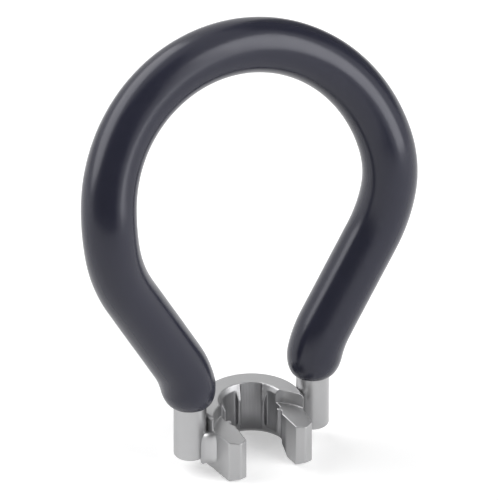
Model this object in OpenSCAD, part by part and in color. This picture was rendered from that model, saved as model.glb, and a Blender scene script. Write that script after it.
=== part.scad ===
// Spoke wrench: a splined C-shaped head brazed between the two feet of a bent rod, whose loop is
// dipped in thick vinyl. The socket's axis is Z, the mouth opens towards -Y, the base is at Z = 0
// and the loop leans back towards +Y, so that a spoke standing in the socket clears it.

/* [Rod] */
// Diameter of the steel rod
rod_d = 4.76; // [4:0.02:5.6]
// Diameter of the loop along the rod's centre line
loop_d = 44.4; // [40:0.2:50]
// How far the loop leans back above its widest line, in degrees
lean = 20; // [8:1:30]
// Half the stretch of the loop that the lean's bend takes, in degrees
lean_blend = 10; // [7:1:14]
// Slope of each leg from upright, in degrees
leg_angle = 30; // [25:1:35]
// Bend radius where each leg turns down into its foot, from the coat's end upwards
foot_bend_r = 15.2; // [13:0.2:18]
// Bare length of each foot below the grip
bare_len = 8.5; // [7.5:0.1:12]
// Height of the feet's cut ends above the base
foot_z = 2.2; // [1.4:0.1:3]
// Chamfer round each foot's cut end
foot_edge = 0.3; // [0.1:0.05:0.6]

/* [Grip] */
// Outer diameter of the vinyl coat
grip_d = 8; // [7:0.1:9]
// Length of the coat's rounded end, along the leg
shoulder_len = 3.6; // [2:0.2:5]
// Thickness of the coat's wall at its very end
grip_edge = 0.1; // [0.04:0.02:0.3]
// Clearance between the rod and the bore of the coat
grip_fit = 0.02; // [0.01:0.01:0.05]

/* [Socket] */
// Diameter across the floors of the socket's grooves
groove_d = 8.8; // [8.2:0.1:9.2]
// Height of the teeth between the grooves
tooth_h = 0.65; // [0.4:0.05:0.8]
// Width of a tooth at its tip
tooth_tip_w = 0.45; // [0.3:0.05:0.7]
// Width of a tooth at its root
tooth_root_w = 0.85; // [0.75:0.05:1.1]
// Number of teeth round the full circle
tooth_count = 7; // [6:1:8]
// Depth of the lead-in bevel on top of the teeth
lead_depth = 2.3; // [0.6:0.1:2.6]
// How far the lead-in bevel widens the rim of the grooves
lead_rim = 0.35; // [0.05:0.05:0.5]
// Extra depth of the one groove that runs out through the top
deep_groove = 0.4; // [0.1:0.05:0.6]
// Height of the flare under the grooves
flare_h = 1.5; // [0.8:0.1:2]
// How far the flare widens at the base
flare_w = 1; // [0.5:0.1:1.4]

/* [Ring and jaws] */
// Outer diameter of the ring
ring_d = 15.2; // [14.6:0.1:17]
// Height of the ring
ring_h = 8.6; // [8:0.1:10]
// Chamfer round the ring's top and bottom
ring_edge = 0.3; // [0.1:0.05:0.5]
// How deep each foot sits in the ring's side
seat_depth = 0.18; // [0.1:0.02:0.4]
// Clearance between a foot and its seat
seat_fit = 0.02; // [0.01:0.01:0.05]
// Height of the jaws
jaw_h = 6.5; // [5:0.1:7.5]
// Reach of the jaws in front of the socket's axis
jaw_reach = 7.2; // [6.4:0.1:8.5]
// Width of the mouth where it leaves the socket
mouth_w = 7.2; // [6.8:0.1:7.8]
// How far each wall of the mouth flares, in degrees
mouth_flare = 3; // [0:0.5:6]
// Depth of the bevel inside each jaw's tip
tip_bevel = 0.7; // [0.4:0.1:1.2]
// Width of the bevel inside each jaw's tip
tip_bevel_w = 1.1; // [0.5:0.1:1.4]
// Width of the blunt end of each jaw
tip_blunt = 0.3; // [0.2:0.05:1]
// Depth of the bevel outside each jaw's tip
nose_bevel = 0.9; // [0.5:0.1:1.4]
// Width of the bevel outside each jaw's tip
nose_bevel_w = 1.3; // [0.8:0.1:1.6]
// How far the underside of each tip rises
tip_rise = 0.5; // [0.3:0.1:2]
// Length of the rising underside of each tip
tip_run = 1; // [0.6:0.1:3]
// Diameter of the relief cut above the jaws
relief_d = 16; // [15:0.1:18]
// Distance from the socket's axis to the relief's centre
relief_y = 5.8; // [5:0.1:6.6]

/* [Braze] */
// Radius of the left fillets
braze_left_r = 1.5; // [1:0.1:1.8]
// Height of the left fillets
braze_left_h = 5; // [3:0.1:5.5]
// How far the left fillets run below the foot's end
braze_left_drop = 1; // [0:0.1:1.2]
// Radius of the right fillets
braze_right_r = 1; // [0.7:0.1:1.8]
// Height of the right fillets
braze_right_h = 2.4; // [1.5:0.1:5.5]
// How far the right fillets run below the foot's end
braze_right_drop = 0.4; // [0:0.1:1.2]
// Thickness at which a fillet's thin edge stops
braze_edge = 0.04; // [0.02:0.01:0.06]

/* [Hidden] */
$fn = 96;
// Overrun of every cut
over = 1;
// Sides of the swept rod and coat
sweep_sides = 28;
// Widest turn between two rings of a sweep, in degrees
ring_turn = 5;
// Steps in the rounding of the grip's shoulder
shoulder_steps = 6;
// Facets of the circles that bound a braze fillet
fillet_sides = 360;
// Root of a jaw inside the ring, as shares of the ring's radius
jaw_root_share = [0.94, -0.3];

rod_r = rod_d / 2;
grip_r = grip_d / 2;
grip_bore_r = rod_r + grip_fit;
shoulder_depth = grip_r - grip_bore_r - grip_edge;
loop_r = loop_d / 2;
ring_r = ring_d / 2;
groove_r = groove_d / 2;
tooth_r = groove_r - tooth_h;
tooth_pitch = 360 / tooth_count;

// The feet stand in the ring's sides, and the legs reach from them to the loop
foot_x = ring_r + rod_r - seat_depth;
grip_z = foot_z + bare_len;
leg_x = foot_x + foot_bend_r * (1 - cos(leg_angle));
leg_z = grip_z + foot_bend_r * sin(leg_angle);
leg_len = (loop_r * cos(leg_angle) - leg_x) / sin(leg_angle);
loop_z = leg_z + leg_len * cos(leg_angle) + loop_r * sin(leg_angle);

// The lean's bend: one arc that joins the upright and the leaning part of the loop smoothly
blend_turn = acos(pow(cos(lean_blend), 2) * cos(lean) - pow(sin(lean_blend), 2));
blend_run = loop_r * tan(lean_blend);
blend_r = blend_run / tan(blend_turn / 2);
blend_slant = [-sin(lean_blend), cos(lean_blend) * sin(lean / 2), 0];
blend_dir = blend_slant / norm(blend_slant);
blend_at = [loop_r / cos(lean_blend), 0, 0] + blend_dir * blend_run / sin(blend_turn / 2);

// The mouth's walls and the jaws' tips
mouth_x = mouth_w / 2;
bevel_y = jaw_reach - tip_bevel;
bevel_x = mouth_x + bevel_y * tan(mouth_flare);
blunt_x = bevel_x + tip_bevel_w;
tip_x = blunt_x + tip_blunt;
nose_x = tip_x + nose_bevel_w;
nose_y = jaw_reach - nose_bevel;

// A copy on each side of the handle
module both_sides() {
    children();
    mirror([1, 0, 0]) children();
}

// Angles from one to another, in even steps no wider than ring_turn
function turns(from, to) = let (count = ceil((to - from) / ring_turn))
    [for (i = [0 : count]) from + (to - from) * i / count];

// A list without its first and last item
function inside(list) = [for (i = [1 : len(list) - 2]) list[i]];

// A vector tilted back about the X axis
function leaned(v, angle) =
    [v[0], v[1] * cos(angle) + v[2] * sin(angle), v[2] * cos(angle) - v[1] * sin(angle)];

// Each step of the rod's centre line is a point and the direction in which the line runs there
function foot_step(z) = [[foot_x, 0, z], [0, 0, 1]];
function bend_step(turn) = [
    [foot_x + foot_bend_r * (1 - cos(turn)), 0, grip_z + foot_bend_r * sin(turn)],
    [sin(turn), 0, cos(turn)]
];
function loop_step(turn, back) = [
    [0, 0, loop_z] + leaned([loop_r * cos(turn), 0, loop_r * sin(turn)], back),
    leaned([-sin(turn), 0, cos(turn)], back)
];
function blend_step(turn) = [
    [0, 0, loop_z] + leaned(blend_at + blend_r * (sin(turn) * [0, 0, 1] - cos(turn) * blend_dir), lean / 2),
    leaned(sin(turn) * blend_dir + cos(turn) * [0, 0, 1], lean / 2)
];

// The same step on the other side, where the line runs the other way
function mirrored(step) =
    [[-step[0][0], step[0][1], step[0][2]], [step[1][0], -step[1][1], -step[1][2]]];

// A whole line from the steps of one side: those, the top of the loop, and the other side in reverse
function whole_line(steps) = concat(
    steps,
    [loop_step(90, lean)],
    [for (i = [len(steps) - 1 : -1 : 0]) mirrored(steps[i])]
);

// The centre line of one side, from a turn of its foot's bend to just before the top of the loop
function side_line(from) = concat(
    [for (turn = turns(from, leg_angle)) bend_step(turn)],
    [for (turn = turns(-leg_angle, -lean_blend)) loop_step(turn, 0)],
    [for (turn = inside(turns(-blend_turn / 2, blend_turn / 2))) blend_step(turn)],
    [for (turn = turns(lean_blend, 90 - ring_turn)) loop_step(turn, lean)]
);

// A ring of points round one step of the centre line
function ring_at(step, radius) =
    let (side = cross(step[1], [0, 1, 0]), across = side / norm(side), up = cross(step[1], across))
    [for (i = [0 : sweep_sides - 1])
        let (turn = 360 * i / sweep_sides)
        step[0] + radius * (cos(turn) * across + sin(turn) * up)];

// A solid between rings of points, with its last ring joined to its first or with both ends closed
module swept(rings, joined) {
    count = len(rings);
    sides = [for (j = [0 : count - (joined ? 1 : 2)], i = [0 : sweep_sides - 1])
        let (
            low = j * sweep_sides,
            high = (j + 1) % count * sweep_sides,
            next = (i + 1) % sweep_sides
        )
        each [[low + i, high + i, high + next], [low + i, high + next, low + next]]];
    ends = joined ? [] : [
        [for (i = [0 : sweep_sides - 1]) i],
        [for (i = [sweep_sides - 1 : -1 : 0]) (count - 1) * sweep_sides + i]
    ];
    polyhedron([for (ring = rings) each ring], concat(sides, ends), convexity = 4);
}

// One round rod, bent to a loop that ends in two upright feet
module handle_rod() {
    line = whole_line(concat([foot_step(foot_z), foot_step(foot_z + foot_edge)], side_line(0)));
    color("#b8babd") swept(
        [for (i = [0 : len(line) - 1])
            ring_at(line[i], i == 0 || i == len(line) - 1 ? rod_r - foot_edge : rod_r)],
        false
    );
}

// The vinyl coat, dipped over the loop and both legs, with a rounded shoulder at each end
module vinyl_grip() {
    shoulder_turn = shoulder_len / foot_bend_r * 180 / PI;
    shoulder = [for (i = [0 : shoulder_steps - 1])
        let (turn = 90 * i / shoulder_steps)
        [bend_step(shoulder_turn * (1 - cos(turn))), grip_r - shoulder_depth * (1 - sin(turn))]];
    outer = whole_line(side_line(shoulder_turn));
    bore = whole_line(side_line(0));
    color("#26272f") swept(
        concat(
            [for (at = shoulder) ring_at(at[0], at[1])],
            [for (step = outer) ring_at(step, grip_r)],
            [for (i = [shoulder_steps - 1 : -1 : 0]) ring_at(mirrored(shoulder[i][0]), shoulder[i][1])],
            [for (i = [len(bore) - 1 : -1 : 0]) ring_at(bore[i], grip_bore_r)]
        ),
        true
    );
}

// The round body of the head
module ring() {
    rotate_extrude() polygon([
        [0, 0],
        [ring_r - ring_edge, 0],
        [ring_r, ring_edge],
        [ring_r, ring_h - ring_edge],
        [ring_r - ring_edge, ring_h],
        [0, ring_h]
    ]);
}

// The block that the mouth parts into two jaws
module jaw_block() {
    root = ring_r * jaw_root_share;
    linear_extrude(jaw_h) polygon([
        root,
        [nose_x, -nose_y],
        [tip_x, -jaw_reach],
        [-tip_x, -jaw_reach],
        [-nose_x, -nose_y],
        [-root[0], root[1]]
    ]);
}

// The grooved hole: a round bore with its teeth left standing
module socket_cut() {
    translate([0, 0, -over]) linear_extrude(ring_h + 2 * over) difference() {
        circle(groove_r);
        for (i = [0 : tooth_count - 1]) rotate(90 + tooth_pitch * i) polygon([
            [tooth_r, -tooth_tip_w / 2],
            [groove_r, -tooth_root_w / 2],
            [groove_r + tooth_h, -tooth_root_w / 2],
            [groove_r + tooth_h, tooth_root_w / 2],
            [groove_r, tooth_root_w / 2],
            [tooth_r, tooth_tip_w / 2]
        ]);
    }
    // The deeper groove, beside the rearmost tooth, on the right
    deep_r = groove_r + deep_groove;
    tooth_half = asin(tooth_root_w / 2 / groove_r);
    translate([0, 0, -over]) linear_extrude(ring_h + 2 * over) intersection() {
        circle(deep_r);
        rotate(90 - tooth_pitch) polygon([
            [0, 0],
            (deep_r + over) * [cos(tooth_half), sin(tooth_half)],
            (deep_r + over) * [cos(tooth_pitch / 2), sin(tooth_pitch / 2)],
            (deep_r + over) * [cos(tooth_pitch - tooth_half), sin(tooth_pitch - tooth_half)]
        ]);
    }
    // The bevel that leads a nipple in from above
    lead_slope = (tooth_h + lead_rim) / lead_depth;
    translate([0, 0, ring_h - lead_depth])
        cylinder(h = lead_depth + over, r1 = tooth_r, r2 = tooth_r + lead_slope * (lead_depth + over));
    // The flare under the grooves, which also clears the teeth's lower ends
    flare_slope = flare_w / flare_h;
    translate([0, 0, -over])
        cylinder(h = over + flare_h + tooth_h / flare_slope,
            r1 = groove_r + flare_w + flare_slope * over, r2 = tooth_r);
}

// The open mouth between the jaws
module mouth_cut() {
    bevel_slope = tip_bevel_w / tip_bevel;
    front_y = max(jaw_reach, ring_r) + over;
    front_x = blunt_x + bevel_slope * (front_y - jaw_reach);
    translate([0, 0, -over]) linear_extrude(ring_h + 2 * over) polygon([
        [mouth_x, 0],
        [bevel_x, -bevel_y],
        [front_x, -front_y],
        [-front_x, -front_y],
        [-bevel_x, -bevel_y],
        [-mouth_x, 0]
    ]);
}

// The rising underside of the tips
module tip_cut() {
    slope = tip_rise / tip_run;
    translate([-ring_r, 0, 0]) rotate([90, 0, 90]) linear_extrude(ring_d) polygon([
        [-jaw_reach - over, -over],
        [-jaw_reach + tip_run - over / slope, -over],
        [-jaw_reach + tip_run, 0],
        [-jaw_reach - over, tip_rise + slope * over]
    ]);
}

// The splined head: a ring whose mouth opens between two lower jaws
module wrench_head() {
    color("#a3a5a8") difference() {
        union() {
            ring();
            jaw_block();
        }
        socket_cut();
        mouth_cut();
        tip_cut();
        translate([0, -relief_y, jaw_h]) cylinder(h = ring_h - jaw_h + over, r = relief_d / 2);
        both_sides() translate([foot_x, 0, -over]) cylinder(h = ring_h + 2 * over, r = rod_r + seat_fit);
    }
}

// One braze fillet in the valley between the ring and a foot
module fillet(fillet_r, height) {
    $fn = fillet_sides;
    ring_reach = ring_r + fillet_r;
    foot_reach = rod_r + fillet_r;
    at_x = (foot_x * foot_x + ring_reach * ring_reach - foot_reach * foot_reach) / (2 * foot_x);
    at_y = sqrt(ring_reach * ring_reach - at_x * at_x);
    linear_extrude(height) difference() {
        polygon([[0, 0], [foot_x, 0], [at_x, -at_y]]);
        circle(ring_r);
        translate([foot_x, 0]) circle(rod_r);
        translate([at_x, -at_y]) circle(fillet_r + braze_edge);
    }
}

// A fillet in front of a foot and one behind it
module fillet_pair(fillet_r, height, drop) {
    color("#b3b1a8") translate([0, 0, foot_z - drop]) {
        fillet(fillet_r, height);
        mirror([0, 1, 0]) fillet(fillet_r, height);
    }
}

// The braze beside the left foot, which ran further up and down
module braze_left() {
    mirror([1, 0, 0]) fillet_pair(braze_left_r, braze_left_h, braze_left_drop);
}

// The braze beside the right foot
module braze_right() {
    fillet_pair(braze_right_r, braze_right_h, braze_right_drop);
}

handle_rod();
vinyl_grip();
wrench_head();
braze_left();
braze_right();
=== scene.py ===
"""Spoke wrench: a bent steel rod dipped in vinyl, with a splined head brazed between its feet.

Each piece of the wrench has an operator, which builds its finished surface over the fixed model.
"""

import math

import bmesh
import bpy
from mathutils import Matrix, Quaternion, Vector, noise


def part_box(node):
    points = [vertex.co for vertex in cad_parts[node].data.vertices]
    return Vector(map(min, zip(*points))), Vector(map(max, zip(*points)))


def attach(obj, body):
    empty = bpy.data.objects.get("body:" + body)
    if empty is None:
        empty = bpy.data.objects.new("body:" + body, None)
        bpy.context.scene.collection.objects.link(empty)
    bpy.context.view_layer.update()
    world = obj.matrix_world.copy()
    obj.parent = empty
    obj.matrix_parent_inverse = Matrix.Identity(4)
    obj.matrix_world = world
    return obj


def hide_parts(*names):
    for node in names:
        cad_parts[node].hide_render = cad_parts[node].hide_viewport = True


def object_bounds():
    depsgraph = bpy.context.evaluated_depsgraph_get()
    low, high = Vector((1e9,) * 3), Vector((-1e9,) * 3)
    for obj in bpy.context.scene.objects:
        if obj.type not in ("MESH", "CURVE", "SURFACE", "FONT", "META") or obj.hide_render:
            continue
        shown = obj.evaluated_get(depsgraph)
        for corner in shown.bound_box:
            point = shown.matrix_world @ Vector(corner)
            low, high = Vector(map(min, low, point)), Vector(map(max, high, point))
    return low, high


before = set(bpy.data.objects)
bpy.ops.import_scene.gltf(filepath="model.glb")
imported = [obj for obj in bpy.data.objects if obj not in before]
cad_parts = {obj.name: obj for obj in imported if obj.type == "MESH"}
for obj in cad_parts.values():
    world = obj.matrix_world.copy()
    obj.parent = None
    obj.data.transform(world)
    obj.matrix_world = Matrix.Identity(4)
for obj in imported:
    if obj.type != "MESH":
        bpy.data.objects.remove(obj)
MODEL_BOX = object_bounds()

bl_info = {
    "name": "Spoke Wrench",
    "version": (1, 0, 0),
    "blender": (4, 5, 0),
    "location": "View3D > Sidebar > Spoke Wrench",
    "description": "Builds a vinyl-dipped spoke wrench with a splined head",
    "category": "Add Mesh",
}

MM = 0.001
BODY = "root"
GRIP_LOW, GRIP_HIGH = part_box("vinyl_grip")
ROD_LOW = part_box("handle_rod")[0]
MIDDLE = (MODEL_BOX[0] + MODEL_BOX[1]) / 2
WHITE = (1, 1, 1, 1)
# Nearly all values of a noise texture lie between these two
NOISE_LOW, NOISE_HIGH = 0.3, 0.7


def linear_from_hex(code):
    """The linear red, green and blue of an sRGB hex colour."""
    shares = [int(code[i : i + 2], 16) / 255 for i in (1, 3, 5)]
    return [s / 12.92 if s <= 0.04045 else ((s + 0.055) / 1.055) ** 2.4 for s in shares]


class HandleSizes(bpy.types.PropertyGroup):
    """Sizes of the rod and of its vinyl coat"""

    rod_diameter: bpy.props.FloatProperty(
        name="Rod diameter",
        description="Diameter of the steel rod",
        default=4.76 * MM, unit="LENGTH", precision=5,
    )
    grip_diameter: bpy.props.FloatProperty(
        name="Grip diameter",
        description="Diameter over the vinyl coat",
        default=8 * MM, unit="LENGTH", precision=5,
    )
    feet_apart: bpy.props.FloatProperty(
        name="Feet apart",
        description="Distance between the centre lines of the feet",
        default=19.6 * MM, unit="LENGTH", precision=5,
    )
    leg_angle: bpy.props.FloatProperty(
        name="Leg angle",
        description="Slope of each leg from upright",
        default=math.radians(30), subtype="ANGLE",
    )
    foot_bend: bpy.props.FloatProperty(
        name="Foot bend",
        description="Bend radius where each leg turns down into its foot",
        default=15.2 * MM, unit="LENGTH", precision=5,
    )
    lean: bpy.props.FloatProperty(
        name="Lean",
        description="How far the loop leans back above its widest line",
        default=math.radians(20), subtype="ANGLE",
    )
    lean_blend: bpy.props.FloatProperty(
        name="Lean blend",
        description="Half the stretch of the loop that the lean's bend takes",
        default=math.radians(10), subtype="ANGLE",
    )
    shoulder: bpy.props.FloatProperty(
        name="Shoulder",
        description="Length of the coat's rounded ends, along the leg",
        default=3.6 * MM, unit="LENGTH", precision=5,
    )
    lip: bpy.props.FloatProperty(
        name="Lip",
        description="Rounding of the coat's edge where it meets the rod",
        default=0.12 * MM, unit="LENGTH", precision=5,
    )
    foot_edge: bpy.props.FloatProperty(
        name="Foot edge",
        description="Rounding of each foot's cut end",
        default=0.3 * MM, unit="LENGTH", precision=5,
    )
    sag: bpy.props.FloatProperty(
        name="Coat waviness",
        description="How far the dipped coat swells and thins along the rod",
        default=0.02 * MM, unit="LENGTH", precision=5,
    )


class HeadSizes(bpy.types.PropertyGroup):
    """Sizes of the head's and the brazes' finish, and of the shade painted in the socket"""

    voxel: bpy.props.FloatProperty(
        name="Detail",
        description="Spacing of the points on the head's surface",
        default=0.11 * MM, unit="LENGTH", precision=5,
    )
    rounds: bpy.props.IntProperty(
        name="Edge softness",
        description="How many times the head's edges are smoothed",
        default=4,
    )
    # Painted shade: the walls inside the socket are painted darker out to this distance from its axis
    socket_shade_reach: bpy.props.FloatProperty(
        name="Socket reach",
        description="Distance from the socket's axis to which its thinner plating reaches",
        default=4.9 * MM, unit="LENGTH", precision=5,
    )
    # Painted shade: below this height the socket's walls are painted darker still, towards the base
    socket_shade_height: bpy.props.FloatProperty(
        name="Socket dusk",
        description="Height below which the plating in the socket grows thinner still",
        default=4.5 * MM, unit="LENGTH", precision=5,
    )
    ring_diameter: bpy.props.FloatProperty(
        name="Ring diameter",
        description="Outer diameter of the head's ring, on which the brazes lie",
        default=15.2 * MM, unit="LENGTH", precision=5,
    )
    left_braze: bpy.props.FloatProperty(
        name="Left braze",
        description="Radius of the fillets beside the left foot, where they are widest",
        default=2.4 * MM, unit="LENGTH", precision=5,
    )
    right_braze: bpy.props.FloatProperty(
        name="Right braze",
        description="Radius of the fillets beside the right foot, where they are widest",
        default=1.2 * MM, unit="LENGTH", precision=5,
    )
    ripple: bpy.props.FloatProperty(
        name="Braze ripple",
        description="How much the fillets' radius varies, as the braze ran and froze",
        default=0.08 * MM, unit="LENGTH", precision=5,
    )


class FinishColours(bpy.types.PropertyGroup):
    """Colours of the finishes, and of the shade and highlight painted on the head and brazes"""

    vinyl: bpy.props.FloatVectorProperty(
        name="Vinyl",
        description="Dark navy vinyl",
        default=linear_from_hex("#282938"), subtype="COLOR", min=0, max=1,
    )
    vinyl_deep: bpy.props.FloatVectorProperty(
        name="Vinyl, thick",
        description="The same vinyl where the coat is thicker",
        default=linear_from_hex("#252633"), subtype="COLOR", min=0, max=1,
    )
    vinyl_sheen: bpy.props.FloatVectorProperty(
        name="Vinyl sheen",
        description="Cool tint of what the vinyl reflects",
        default=linear_from_hex("#f8f8ff"), subtype="COLOR", min=0, max=1,
    )
    plating: bpy.props.FloatVectorProperty(
        name="Plating",
        description="Nickel plating on the rod",
        default=linear_from_hex("#b0b0b1"), subtype="COLOR", min=0, max=1,
    )
    casting: bpy.props.FloatVectorProperty(
        name="Casting",
        description="Nickel plating on the cast head",
        default=linear_from_hex("#b4b4b5"), subtype="COLOR", min=0, max=1,
    )
    # Painted shade: the colour of the walls inside the socket, darker than the head's plating
    socket_shade: bpy.props.FloatVectorProperty(
        name="Recess",
        description="Thinly plated steel inside the socket",
        default=linear_from_hex("#9c9c9e"), subtype="COLOR", min=0, max=1,
    )
    # Painted shade: the darker colour of the socket's walls near its base
    socket_shade_deep: bpy.props.FloatVectorProperty(
        name="Recess, low",
        description="The same steel near the base, with hardly any plating",
        default=linear_from_hex("#6e6e70"), subtype="COLOR", min=0, max=1,
    )
    # Painted highlight: the plated braze is painted lighter than the head's plating, for the light its
    # fillets catch
    braze: bpy.props.FloatVectorProperty(
        name="Braze",
        description="Plated braze metal",
        default=linear_from_hex("#c2c2c3"), subtype="COLOR", min=0, max=1,
    )


class StudioSettings(bpy.types.PropertyGroup):
    """The camera and the lamps"""

    turn: bpy.props.FloatProperty(
        name="Camera turn",
        description="How far the camera stands to the left of the front",
        default=math.radians(26), subtype="ANGLE",
    )
    rise: bpy.props.FloatProperty(
        name="Camera rise",
        description="How far the camera looks down",
        default=math.radians(31), subtype="ANGLE",
    )
    distance: bpy.props.FloatProperty(
        name="Camera distance",
        description="Distance from the camera to the point that it looks at",
        default=2, unit="LENGTH",
    )
    pixels_per_mm: bpy.props.FloatProperty(
        name="Scale",
        description="Pixels of the photograph's frame for each millimetre of the wrench",
        default=7,
    )
    aim: bpy.props.FloatVectorProperty(
        name="Aim",
        description="The point that the camera looks at",
        default=(-0.22 * MM, 0, 33.76 * MM), unit="LENGTH", precision=5,
    )
    front_box: bpy.props.FloatProperty(
        name="Front soft box",
        description="Brightness of the soft box in front on the right, where 1 is white",
        default=3.9,
    )
    rear_box: bpy.props.FloatProperty(
        name="Rear soft box",
        description="Brightness of the soft box behind on the left, where 1 is white",
        default=3.1,
    )
    room: bpy.props.FloatProperty(
        name="Room light",
        description="Light that the white room throws on the wrench, where 1 is white",
        default=0.2,
    )
    floor_lift: bpy.props.FloatProperty(
        name="Floor lift",
        description="Brightness that the floor gains where it is seen, so that it shows as white",
        default=0.4,
    )


class WrenchSettings(bpy.types.PropertyGroup):
    """Everything that a user may change"""

    handle: bpy.props.PointerProperty(type=HandleSizes)
    head: bpy.props.PointerProperty(type=HeadSizes)
    colours: bpy.props.PointerProperty(type=FinishColours)
    studio: bpy.props.PointerProperty(type=StudioSettings)


def add_node(tree, kind, inputs=None, **settings):
    """Adds a shader node with its settings, and with its inputs set to values or linked to sockets."""
    node = tree.nodes.new("ShaderNode" + kind)
    for name, value in settings.items():
        setattr(node, name, value)
    for name, value in (inputs or {}).items():
        if isinstance(value, bpy.types.NodeSocket):
            tree.links.new(value, node.inputs[name])
        else:
            node.inputs[name].default_value = value
    return node


def new_material(name):
    """An empty material with its output, and the place of each point in metres."""
    material = bpy.data.materials.new(name)
    material.use_nodes = True
    tree = material.node_tree
    tree.nodes.clear()
    output = add_node(tree, "OutputMaterial")
    place = add_node(tree, "TexCoord").outputs["Object"]
    return material, tree, output, place


def per(length):
    """The texture scale that gives one cell for each such length."""
    return 1 / length


def dipped_vinyl(colours):
    """Plastisol vinyl, dipped and oven-cured: it flows out glossy, with a faint orange peel."""
    cloud, patch, vinyl_ior = 9 * MM, 3 * MM, 1.47
    glossy, duller = 0.2, 0.27
    # Real orange peel on such a coat is 0.5 to 1 mm wide and a few microns high
    peel_width, peel_height = 0.8 * MM, 0.002 * MM
    material, tree, output, place = new_material("Dipped plastisol vinyl")
    clouds = add_node(tree, "TexNoise", {"Vector": place, "Scale": per(cloud), "Detail": 2})
    tone = add_node(
        tree, "Mix",
        {"Factor": clouds.outputs["Fac"], "A": (*colours.vinyl_deep, 1), "B": (*colours.vinyl, 1)},
        data_type="RGBA",
    )
    # Skin that cured a little faster shines a little less, in patches a few millimetres wide
    patches = add_node(tree, "TexNoise", {"Vector": place, "Scale": per(patch), "Detail": 3})
    gloss = add_node(
        tree, "MapRange",
        {
            "Value": patches.outputs["Fac"],
            "From Min": NOISE_LOW, "From Max": NOISE_HIGH, "To Min": glossy, "To Max": duller,
        },
    )
    peel = add_node(tree, "TexNoise", {"Vector": place, "Scale": per(peel_width), "Detail": 1})
    relief = add_node(
        tree, "Bump", {"Height": peel.outputs["Fac"], "Distance": peel_height, "Strength": 1}
    )
    shader = add_node(
        tree, "BsdfPrincipled",
        {
            "Base Color": tone.outputs["Result"],
            "Roughness": gloss.outputs["Result"],
            "Normal": relief.outputs["Normal"],
            "IOR": vinyl_ior,
            "Specular Tint": (*colours.vinyl_sheen, 1),
        },
    )
    tree.links.new(shader.outputs["BSDF"], output.inputs["Surface"])
    return material


def plated_metal(name, colour, grain, height, smooth, dull):
    """Nickel plate: it shows the metal's grain, and its tone and sheen vary in faint stains."""
    stain, darker, lighter = 2.5 * MM, 0.94, 1.05
    material, tree, output, place = new_material(name)
    pits = add_node(tree, "TexNoise", {"Vector": place, "Scale": per(grain), "Detail": 4})
    stains = add_node(tree, "TexNoise", {"Vector": place, "Scale": per(stain), "Detail": 3})
    tone = add_node(
        tree, "Mix",
        {
            "Factor": stains.outputs["Fac"],
            "A": (*(darker * c for c in colour), 1),
            "B": (*(min(1, lighter * c) for c in colour), 1),
        },
        data_type="RGBA",
    )
    gloss = add_node(
        tree, "MapRange",
        {
            "Value": stains.outputs["Fac"],
            "From Min": NOISE_LOW, "From Max": NOISE_HIGH, "To Min": smooth, "To Max": dull,
        },
    )
    relief = add_node(
        tree, "Bump", {"Height": pits.outputs["Fac"], "Distance": height, "Strength": 1}
    )
    shader = add_node(
        tree, "BsdfPrincipled",
        {
            "Base Color": tone.outputs["Result"],
            "Metallic": 1.0,
            "Roughness": gloss.outputs["Result"],
            "Normal": relief.outputs["Normal"],
        },
    )
    tree.links.new(shader.outputs["BSDF"], output.inputs["Surface"])
    return material


def socket_shade_mask(tree, place, sizes):
    """1 on the upright and overhanging walls inside the socket, where shade is painted, and 0 on the
    rest of the head.
    """
    fade = 0.6 * MM
    # How much a surface faces up: a wall has less than the first, and a top more than the second
    wall, top = 0.2, 0.5
    flat = add_node(tree, "VectorMath", {0: place, 1: (1, 1, 0)}, operation="MULTIPLY")
    reach = add_node(tree, "VectorMath", {0: flat.outputs["Vector"]}, operation="LENGTH")
    near = add_node(
        tree, "MapRange",
        {
            "Value": reach.outputs["Value"],
            "From Min": sizes.socket_shade_reach, "From Max": sizes.socket_shade_reach + fade,
            "To Min": 1, "To Max": 0,
        },
        interpolation_type="SMOOTHSTEP",
    )
    facing = add_node(tree, "SeparateXYZ", {0: add_node(tree, "NewGeometry").outputs["Normal"]})
    upright = add_node(
        tree, "MapRange",
        {"Value": facing.outputs["Z"], "From Min": wall, "From Max": top, "To Min": 1, "To Max": 0},
    )
    both = add_node(
        tree, "Math", {0: near.outputs["Result"], 1: upright.outputs["Result"]}, operation="MULTIPLY"
    )
    return both.outputs[0]


def direction(turn, rise):
    """The unit vector that turns to the right from the front and rises from the floor."""
    return Vector((
        math.sin(turn) * math.cos(rise), -math.cos(turn) * math.cos(rise), math.sin(rise)
    ))


def leaned(v, angle):
    """A vector tilted back about the X axis."""
    return Vector((
        v[0],
        v[1] * math.cos(angle) + v[2] * math.sin(angle),
        v[2] * math.cos(angle) - v[1] * math.sin(angle),
    ))


def turns(start, end, widest):
    """Angles from start to end, in even steps no wider than widest."""
    count = math.ceil((end - start) / widest)
    return [start + (end - start) * i / count for i in range(count + 1)]


def quarter_turn(steps):
    """Angles from zero to a right angle, in so many even steps."""
    return [math.pi / 2 * i / steps for i in range(steps + 1)]


def full_turn(sides):
    """Angles all the way round, one for each side."""
    return [math.tau * i / sides for i in range(sides)]


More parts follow.
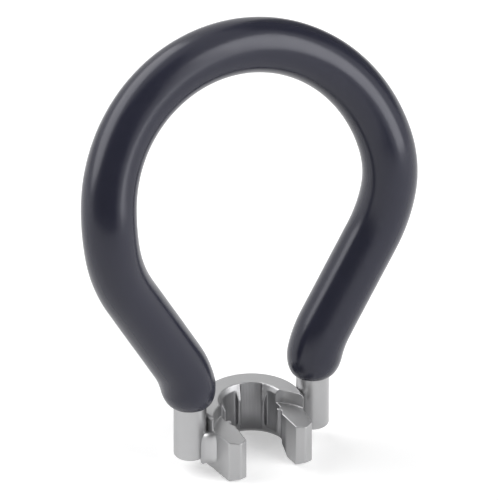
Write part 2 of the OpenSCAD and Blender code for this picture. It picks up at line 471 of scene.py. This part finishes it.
class CentreLine:
    """The rod's centre line. Each step is a point and the direction in which the line runs there."""

    def __init__(self, sizes, ring_turn):
        grip_r, tolerance = sizes.grip_diameter / 2, 0.1 * MM
        self.foot_x = sizes.feet_apart / 2
        self.foot_z = ROD_LOW.z
        self.grip_z = GRIP_LOW.z
        self.loop_r = (GRIP_HIGH.x - GRIP_LOW.x) / 2 - grip_r
        self.bend_r = sizes.foot_bend
        angle = sizes.leg_angle
        leg_x = self.foot_x + self.bend_r * (1 - math.cos(angle))
        leg_z = self.grip_z + self.bend_r * math.sin(angle)
        leg = (self.loop_r * math.cos(angle) - leg_x) / math.sin(angle)
        self.loop_z = leg_z + leg * math.cos(angle) + self.loop_r * math.sin(angle)
        top = self.loop_z + self.loop_r * math.cos(sizes.lean) + grip_r
        if abs(top - GRIP_HIGH.z) > tolerance:
            raise ValueError("the handle's sizes don't match the model's height")

        blend = sizes.lean_blend
        turn = math.acos(math.cos(blend) ** 2 * math.cos(sizes.lean) - math.sin(blend) ** 2)
        run = self.loop_r * math.tan(blend)
        self.blend_r = run / math.tan(turn / 2)
        slant = Vector((-math.sin(blend), math.cos(blend) * math.sin(sizes.lean / 2), 0))
        self.blend_dir = slant.normalized()
        self.blend_at = Vector((self.loop_r / math.cos(blend), 0, 0)) \
            + self.blend_dir * run / math.sin(turn / 2)
        self.lean = sizes.lean

        self.leg_angle, self.ring_turn = angle, ring_turn
        self.upper = self.leg_steps(self.bend_step(angle), leg, ring_turn * self.loop_r)
        self.upper += [self.loop_step(t, 0) for t in turns(-angle, -blend, ring_turn)]
        self.upper += [self.blend_step(t) for t in turns(-turn / 2, turn / 2, ring_turn)[1:-1]]
        self.upper += [self.loop_step(t, self.lean) for t in turns(blend, math.pi / 2, ring_turn)[:-1]]

    def foot_step(self, z):
        """The step at a height on the upright foot."""
        return Vector((self.foot_x, 0, z)), Vector((0, 0, 1))

    def bend_step(self, turn):
        """The step at a turn of the bend from the foot into the leg."""
        point = (self.foot_x + self.bend_r * (1 - math.cos(turn)), 0,
                 self.grip_z + self.bend_r * math.sin(turn))
        return Vector(point), Vector((math.sin(turn), 0, math.cos(turn)))

    def leg_steps(self, low, length, spacing):
        """The steps of a straight leg, without its ends."""
        point, heading = low
        count = math.ceil(length / spacing)
        return [(point + heading * length * i / count, heading) for i in range(1, count)]

    def loop_step(self, turn, back):
        """The step at a turn round the loop from its widest point, with the loop tilted back."""
        point = leaned((self.loop_r * math.cos(turn), 0, self.loop_r * math.sin(turn)), back)
        return point + Vector((0, 0, self.loop_z)), leaned((-math.sin(turn), 0, math.cos(turn)), back)

    def blend_step(self, turn):
        """The step at a turn of the arc that joins the loop's upright and leaning parts."""
        up = Vector((0, 0, math.sin(turn)))
        point = self.blend_at + self.blend_r * (up - math.cos(turn) * self.blend_dir)
        heading = math.sin(turn) * self.blend_dir + Vector((0, 0, math.cos(turn)))
        return (leaned(point, self.lean / 2) + Vector((0, 0, self.loop_z)),
                leaned(heading, self.lean / 2))

    def end_step(self, run):
        """The step that lies so far along the line from the coat's end."""
        return self.bend_step(run / self.bend_r)

    def whole(self, run, ends=()):
        """The steps in ends, one side from run above the coat's end, the top, and the other side."""
        bend = [self.bend_step(t) for t in turns(run / self.bend_r, self.leg_angle, self.ring_turn)]
        side = [*ends, *bend, *self.upper]
        return [*side, self.loop_step(math.pi / 2, self.lean), *[mirrored(s) for s in reversed(side)]]


def mirrored(step):
    """The same step on the other side, where the line runs the other way."""
    point, heading = step
    return Vector((-point.x, point.y, point.z)), Vector((heading.x, -heading.y, -heading.z))


def ring_at(step, radius, sides):
    """A ring of points round one step of the centre line."""
    point, heading = step
    across = heading.cross(Vector((0, 1, 0))).normalized()
    up = heading.cross(across)
    return [point + radius * (math.cos(a) * across + math.sin(a) * up) for a in full_turn(sides)]


def swept_mesh(name, rings, joined):
    """A closed mesh through rings of points, its last ring joined to its first or both ends closed."""
    sides, count = len(rings[0]), len(rings)
    faces = []
    for j in range(count if joined else count - 1):
        low, high = j * sides, (j + 1) % count * sides
        for i in range(sides):
            after = (i + 1) % sides
            faces.append((low + i, low + after, high + after, high + i))
    if not joined:
        faces.append(tuple(reversed(range(sides))))
        faces.append(tuple(range((count - 1) * sides, count * sides)))
    mesh = bpy.data.meshes.new(name)
    mesh.from_pydata([p for ring in rings for p in ring], [], faces)
    mesh.validate()
    return mesh


def add_object(name, data):
    """Puts a mesh, a lamp or a camera in the scene as a new object."""
    made = bpy.data.objects.new(name, data)
    bpy.context.scene.collection.objects.link(made)
    return made


def place_piece(name, mesh, material, node):
    """Puts a mesh in the scene as the piece that stands for a node of the model."""
    piece = add_object(name, mesh)
    mesh.materials.clear()
    mesh.materials.append(material)
    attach(piece, BODY)
    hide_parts(node)


def softened_mesh(node, name, voxel, rounds):
    """The node's shape on an even net of points, with its edges rounded by smoothing."""
    same_point, smooth_factor = voxel / 100, 0.5
    source = add_object(name + "_source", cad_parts[node].data.copy())
    net = bmesh.new()
    net.from_mesh(source.data)
    bmesh.ops.remove_doubles(net, verts=net.verts, dist=same_point)
    net.to_mesh(source.data)
    net.free()
    remesh = source.modifiers.new("Even net", "REMESH")
    remesh.mode = "VOXEL"
    remesh.voxel_size = voxel
    remesh.use_smooth_shade = True
    smooth = source.modifiers.new("Round edges", "SMOOTH")
    smooth.factor = smooth_factor
    smooth.iterations = rounds
    shaped = source.evaluated_get(bpy.context.evaluated_depsgraph_get())
    mesh = bpy.data.meshes.new_from_object(shaped)
    mesh.name = name
    bpy.data.objects.remove(source)
    return mesh


class WRENCH_OT_studio(bpy.types.Operator):
    """Sets up the floor, the lamps, the world and the camera"""

    bl_idname = "spoke_wrench.studio"
    bl_label = "Studio"

    def execute(self, context):
        settings = context.scene.spoke_wrench.studio
        self.build_floor(settings.floor_lift)
        self.build_world(context.scene, settings.room)
        self.build_soft_boxes(settings)
        self.build_grey_cards()
        self.build_camera(context.scene, settings)
        context.scene.view_settings.view_transform = "Standard"
        return {"FINISHED"}

    def build_floor(self, lift):
        """Matt white laminate: it scatters light evenly, shows as white and keeps the shadow."""
        radius, sides, laminate = 4.0, 64, linear_from_hex("#f2f2f2")
        rim = [(radius * math.cos(a), radius * math.sin(a), 0) for a in full_turn(sides)]
        mesh = bpy.data.meshes.new("floor")
        mesh.from_pydata(rim, [], [tuple(range(sides))])
        floor = add_object("floor", mesh)
        material, tree, output, _ = new_material("Matt white laminate")
        paint = add_node(tree, "BsdfDiffuse", {"Color": (*laminate, 1)})
        strength = add_node(tree, "Math", {0: self.seen_directly(tree), 1: lift}, operation="MULTIPLY")
        glow = add_node(tree, "Emission", {"Color": WHITE, "Strength": strength.outputs[0]})
        both = add_node(tree, "AddShader", {0: paint.outputs[0], 1: glow.outputs[0]})
        tree.links.new(both.outputs[0], output.inputs["Surface"])
        mesh.materials.append(material)

    def seen_directly(self, tree):
        """1 for what the camera, a reflection or a refraction shows, and 0 for scattered light."""
        path = add_node(tree, "LightPath")
        first = add_node(
            tree, "Math",
            {0: path.outputs["Is Camera Ray"], 1: path.outputs["Is Glossy Ray"]}, operation="MAXIMUM",
        )
        both = add_node(
            tree, "Math",
            {0: first.outputs[0], 1: path.outputs["Is Transmission Ray"]}, operation="MAXIMUM",
        )
        return both.outputs[0]

    def build_world(self, scene, room):
        """White all round, at a plain level for the light that it throws."""
        world = bpy.data.worlds.new("White room")
        scene.world = world
        world.use_nodes = True
        tree = world.node_tree
        tree.nodes.clear()
        output = add_node(tree, "OutputWorld")
        level = add_node(
            tree, "MapRange", {"Value": self.seen_directly(tree), "To Min": room, "To Max": 1}
        )
        light = add_node(tree, "Background", {"Color": WHITE, "Strength": level.outputs["Result"]})
        tree.links.new(light.outputs[0], output.inputs["Surface"])

    def build_soft_boxes(self, settings):
        """A large soft box in front on the right, and one behind on the left."""
        distance = 0.8
        # Turn, rise and roll in degrees, width and height in metres, and brightness
        boxes = {
            "front_soft_box": (39, 27, 0, 0.5, 0.8, settings.front_box),
            "rear_soft_box": (-132, 38, -30, 1.25, 0.5, settings.rear_box),
        }
        for name, (turn, rise, roll, width, height, brightness) in boxes.items():
            lamp = bpy.data.lights.new(name, "AREA")
            lamp.shape = "RECTANGLE"
            lamp.size, lamp.size_y = width, height
            lamp.energy = brightness * math.pi * width * height
            box = add_object(name, lamp)
            away = direction(math.radians(turn), math.radians(rise))
            box.location = MIDDLE + away * distance
            rolled = away.to_track_quat("Z", "Y") @ Quaternion((0, 0, 1), math.radians(roll))
            box.rotation_euler = rolled.to_euler()

    def build_grey_cards(self):
        """Matt grey card, curved: it gives the glossy coat its dark bands and isn't seen itself."""
        radius, steps, grey = 1.1, 12, linear_from_hex("#989898")
        # The turns and the rises, in degrees, between which each card lies
        cards = {
            "left_grey_card": ((-92, 6), (-4, 88)),
            "right_grey_card": ((84, 146), (-4, 62)),
        }
        material, tree, output, _ = new_material("Grey card")
        paper = add_node(tree, "BsdfDiffuse", {"Color": (*grey, 1)})
        tree.links.new(paper.outputs[0], output.inputs["Surface"])
        row = steps + 1
        faces = [
            (j * row + i, j * row + i + 1, (j + 1) * row + i + 1, (j + 1) * row + i)
            for j in range(steps) for i in range(steps)
        ]
        for name, ((from_turn, to_turn), (from_rise, to_rise)) in cards.items():
            points = [
                MIDDLE + radius * direction(
                    math.radians(from_turn + (to_turn - from_turn) * i / steps),
                    math.radians(from_rise + (to_rise - from_rise) * j / steps),
                )
                for j in range(row) for i in range(row)
            ]
            mesh = bpy.data.meshes.new(name)
            mesh.from_pydata(points, [], faces)
            mesh.materials.append(material)
            card = add_object(name, mesh)
            card.visible_camera = False

    def build_camera(self, scene, settings):
        """A long lens at the photograph's angle, for a square frame of 500 by 500 pixels."""
        frame_pixels = 500
        data = bpy.data.cameras.new("camera")
        data.sensor_fit = "HORIZONTAL"
        data.sensor_width = 36
        pixels_per_metre = settings.pixels_per_mm / MM
        data.lens = data.sensor_width * settings.distance * pixels_per_metre / frame_pixels
        data.clip_start, data.clip_end = 0.01, 20
        camera = add_object("camera", data)
        back = direction(-settings.turn, settings.rise)
        camera.location = Vector(settings.aim) + back * settings.distance
        camera.rotation_euler = (-back).to_track_quat("-Z", "Y").to_euler()
        scene.camera = camera


class WRENCH_OT_rod(bpy.types.Operator):
    """Builds the bent steel rod, whose bare feet stand beside the head"""

    bl_idname = "spoke_wrench.rod"
    bl_label = "Handle rod"

    def execute(self, context):
        settings = context.scene.spoke_wrench
        sizes = settings.handle
        radius, edge = sizes.rod_diameter / 2, sizes.foot_edge
        ring_turn, sharp_turn = math.radians(4), math.radians(40)
        corner_steps, foot_steps, sides = 5, 12, 64
        line = CentreLine(sizes, ring_turn)
        corner = quarter_turn(corner_steps)
        ends = [line.foot_step(line.foot_z + edge * (1 - math.cos(a))) for a in corner]
        radii = [radius - edge * (1 - math.sin(a)) for a in corner]
        low = line.foot_z + edge
        rise = line.grip_z - low
        ends += [line.foot_step(low + rise * i / foot_steps) for i in range(1, foot_steps)]
        steps = line.whole(0, ends)
        radii += [radius] * (len(steps) - 2 * len(radii)) + radii[::-1]
        rings = [ring_at(step, r, sides) for step, r in zip(steps, radii)]
        mesh = swept_mesh("rod", rings, joined=False)
        mesh.shade_smooth()
        mesh.set_sharp_from_angle(angle=sharp_turn)
        # Drawn steel has a fine, shallow grain, so its plating is the smoothest
        material = plated_metal(
            "Nickel-plated drawn steel", settings.colours.plating,
            grain=0.15 * MM, height=0.0015 * MM, smooth=0.32, dull=0.4,
        )
        place_piece("plated_rod", mesh, material, "handle_rod")
        return {"FINISHED"}


class WRENCH_OT_grip(bpy.types.Operator):
    """Builds the dipped vinyl coat, with a rounded shoulder where each leg ends"""

    bl_idname = "spoke_wrench.grip"
    bl_label = "Vinyl grip"

    def execute(self, context):
        settings = context.scene.spoke_wrench
        sizes = settings.handle
        ring_turn, sides = math.radians(2.5), 72
        outer, bore, bore_start = sizes.grip_diameter / 2, sizes.rod_diameter / 2, 2 * sizes.lip
        line = CentreLine(sizes, ring_turn)
        profile = self.end_profile(sizes, outer, bore)
        rings = [ring_at(line.end_step(run), r, sides) for run, r in profile]
        for step in line.whole(sizes.shoulder):
            rings.append(self.wavy(ring_at(step, outer, sides), step[0], sizes.sag))
        rings += [ring_at(mirrored(line.end_step(run)), r, sides) for run, r in reversed(profile)]
        rings += [ring_at(step, bore, sides) for step in line.whole(bore_start)[::-1]]
        mesh = swept_mesh("grip", rings, joined=True)
        mesh.shade_smooth()
        place_piece("vinyl_coat", mesh, dipped_vinyl(settings.colours), "vinyl_grip")
        return {"FINISHED"}

    def end_profile(self, sizes, outer, bore):
        """Runs from the coat's end and radii: from the bore, round the lip, and up the shoulder."""
        lip_steps, shoulder_steps = 4, 14
        depth = outer - bore - sizes.lip
        profile = [
            (sizes.lip * (1 - math.sin(a)), bore + sizes.lip * (1 - math.cos(a)))
            for a in quarter_turn(lip_steps)[:-1]
        ]
        profile += [
            (sizes.shoulder * (1 - math.cos(a)), outer - depth * (1 - math.sin(a)))
            for a in quarter_turn(shoulder_steps)[:-1]
        ]
        return profile

    def wavy(self, ring, centre, height):
        """The ring thinned or swollen a little, and thinned more often, as the vinyl ran and set."""
        wave, thinning = 11 * MM, 0.5
        return [
            p + (p - centre).normalized() * height * (noise.noise(p / wave) - thinning) for p in ring
        ]


class WRENCH_OT_head(bpy.types.Operator):
    """Builds the cast, plated head with its soft edges"""

    bl_idname = "spoke_wrench.head"
    bl_label = "Splined head"

    def execute(self, context):
        settings = context.scene.spoke_wrench
        mesh = softened_mesh("wrench_head", "head", settings.head.voxel, settings.head.rounds)
        # Cast steel has a coarser, deeper grain, so its plating shines less than the rod's
        material = plated_metal(
            "Nickel-plated cast steel", settings.colours.casting,
            grain=0.25 * MM, height=0.004 * MM, smooth=0.42, dull=0.52,
        )
        # Painted shade on the walls inside the socket
        self.paint_socket_shade(material.node_tree, settings)
        place_piece("cast_head", mesh, material, "wrench_head")
        return {"FINISHED"}

    def paint_socket_shade(self, tree, settings):
        """Paints shade on the walls inside the socket, darker still towards the base, broken by the
        broach's upright marks.
        """
        darkest_below = 1 * MM
        # The broach's upright marks are finer in fact, and are drawn as coarse as they need to show
        mark_width, mark_squash = 0.3 * MM, 0.05
        # How much of the lighter tone the dimmest and the brightest mark show
        dim, bright = 0.6, 1.2
        shader = next(node for node in tree.nodes if node.type == "BSDF_PRINCIPLED")
        tone = shader.inputs["Base Color"].links[0].from_socket
        place = add_node(tree, "TexCoord").outputs["Object"]
        height = add_node(tree, "SeparateXYZ", {0: place})
        # Painted shade: it grows darker towards the base of the socket
        daylight = add_node(
            tree, "MapRange",
            {
                "Value": height.outputs["Z"],
                "From Min": darkest_below, "From Max": settings.head.socket_shade_height,
            },
            interpolation_type="SMOOTHSTEP",
        )
        drawn_out = add_node(
            tree, "VectorMath", {0: place, 1: (1, 1, mark_squash)}, operation="MULTIPLY"
        )
        marks = add_node(
            tree, "TexNoise",
            {"Vector": drawn_out.outputs["Vector"], "Scale": per(mark_width), "Detail": 2},
        )
        streak = add_node(
            tree, "MapRange", {"Value": marks.outputs["Fac"], "To Min": dim, "To Max": bright}
        )
        shown = add_node(
            tree, "Math",
            {0: daylight.outputs["Result"], 1: streak.outputs["Result"]}, operation="MULTIPLY",
        )
        socket_shade = add_node(
            tree, "Mix",
            {
                "Factor": shown.outputs[0],
                "A": (*settings.colours.socket_shade_deep, 1), "B": (*settings.colours.socket_shade, 1),
            },
            data_type="RGBA",
        )
        # The painted shade goes on the socket's walls only
        mixed = add_node(
            tree, "Mix",
            {
                "Factor": socket_shade_mask(tree, place, settings.head),
                "A": tone, "B": socket_shade.outputs["Result"],
            },
            data_type="RGBA",
        )
        tree.links.new(mixed.outputs["Result"], shader.inputs["Base Color"])


class WRENCH_OT_brazes(bpy.types.Operator):
    """Builds the braze fillets between the head and the feet"""

    bl_idname = "spoke_wrench.brazes"
    bl_label = "Brazes"

    def execute(self, context):
        settings = context.scene.spoke_wrench
        sharp_turn = math.radians(50)
        # Braze freezes with a coarse grain, which the plating softens but doesn't hide
        # The braze's colour is painted lighter than the head's plating, a painted highlight
        material = plated_metal(
            "Nickel-plated braze", settings.colours.braze,
            grain=0.5 * MM, height=0.006 * MM, smooth=0.42, dull=0.52,
        )
        feet = (("left", -1, settings.head.left_braze), ("right", 1, settings.head.right_braze))
        for name, across, radius in feet:
            node = "braze_" + name
            pair = bmesh.new()
            for ahead in (1, -1):
                rings = self.sections(settings, radius, *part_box(node), across, ahead)
                fillet = swept_mesh(node + "_fillet", rings, joined=False)
                pair.from_mesh(fillet)
                bpy.data.meshes.remove(fillet)
            mesh = bpy.data.meshes.new(node)
            pair.to_mesh(mesh)
            pair.free()
            mesh.shade_smooth()
            mesh.set_sharp_from_angle(angle=sharp_turn)
            place_piece("braze_fillets_" + name, mesh, material, node)
        return {"FINISHED"}

    def sections(self, settings, radius, low, high, across, ahead):
        """The outlines of one fillet from its low end up. It ends thin above and blunter below."""
        count, wave, thinnest = 28, 1.1 * MM, 0.12
        # The higher its power, the later an end begins to thin, and the low end keeps some fullness
        high_power, low_power, low_loss = 6, 8, 0.88
        rings = []
        for i in range(count + 1):
            share = (1 - math.cos(math.pi * i / count)) / 2
            z = low.z + (high.z - low.z) * share
            fullness = math.sqrt((1 - share ** high_power) * (1 - low_loss * (1 - share) ** low_power))
            swell = settings.head.ripple * noise.noise(Vector((across, ahead, z / wave)))
            reach = radius * (thinnest + (1 - thinnest) * fullness) + swell * fullness
            outline = self.section(settings, reach)
            if across * ahead < 0:
                outline.reverse()
            rings.append([Vector((across * x, ahead * y, z)) for x, y in outline])
        return rings

    def section(self, settings, radius):
        """The outline of a fillet in front of the right foot: the valley's bottom and a hollow arc."""
        ring_r, rod_r = settings.head.ring_diameter / 2, settings.handle.rod_diameter / 2
        foot_x = settings.handle.feet_apart / 2
        arc_steps, tuck = 12, 0.03 * MM
        bottom_x, bottom_y = self.meeting(foot_x, ring_r, rod_r)
        at_x, at_y = self.meeting(foot_x, ring_r + radius, rod_r + radius)
        start = math.atan2(at_y, -at_x)
        end = math.atan2(at_y, foot_x - at_x)
        angles = [start + (end - start) * i / arc_steps for i in range(arc_steps + 1)]
        # The arc's two ends reach a little into the ring and the foot
        radii = [radius + tuck, *[radius] * (arc_steps - 1), radius + tuck]
        arc = [(at_x + r * math.cos(a), -at_y + r * math.sin(a)) for a, r in zip(angles, radii)]
        return [(bottom_x, -bottom_y + tuck), *arc]

    def meeting(self, apart, first, second):
        """Where two circles cross, the first round the origin and the second so far along X."""
        x = (apart * apart + first * first - second * second) / (2 * apart)
        return x, math.sqrt(first * first - x * x)


OPERATORS = (WRENCH_OT_studio, WRENCH_OT_rod, WRENCH_OT_grip, WRENCH_OT_head, WRENCH_OT_brazes)


class WRENCH_PT_panel(bpy.types.Panel):
    """Lists the steps that build the wrench, and the sizes and colours that they use"""

    bl_idname = "WRENCH_PT_panel"
    bl_label = "Spoke Wrench"
    bl_space_type = "VIEW_3D"
    bl_region_type = "UI"
    bl_category = "Spoke Wrench"

    def draw(self, context):
        settings = context.scene.spoke_wrench
        for operator in OPERATORS:
            self.layout.operator(operator.bl_idname)
        for group in (settings.handle, settings.head, settings.colours, settings.studio):
            box = self.layout.box()
            for name in group.__annotations__:
                box.prop(group, name)


CLASSES = (
    HandleSizes,
    HeadSizes,
    FinishColours,
    StudioSettings,
    WrenchSettings,
    *OPERATORS,
    WRENCH_PT_panel,
)


def register():
    for cls in CLASSES:
        bpy.utils.register_class(cls)
    bpy.types.Scene.spoke_wrench = bpy.props.PointerProperty(type=WrenchSettings)


def unregister():
    del bpy.types.Scene.spoke_wrench
    for cls in reversed(CLASSES):
        bpy.utils.unregister_class(cls)


def main():
    register()
    bpy.ops.spoke_wrench.studio()
    bpy.ops.spoke_wrench.rod()
    bpy.ops.spoke_wrench.grip()
    bpy.ops.spoke_wrench.head()
    bpy.ops.spoke_wrench.brazes()


if __name__ == "__main__":
    main()
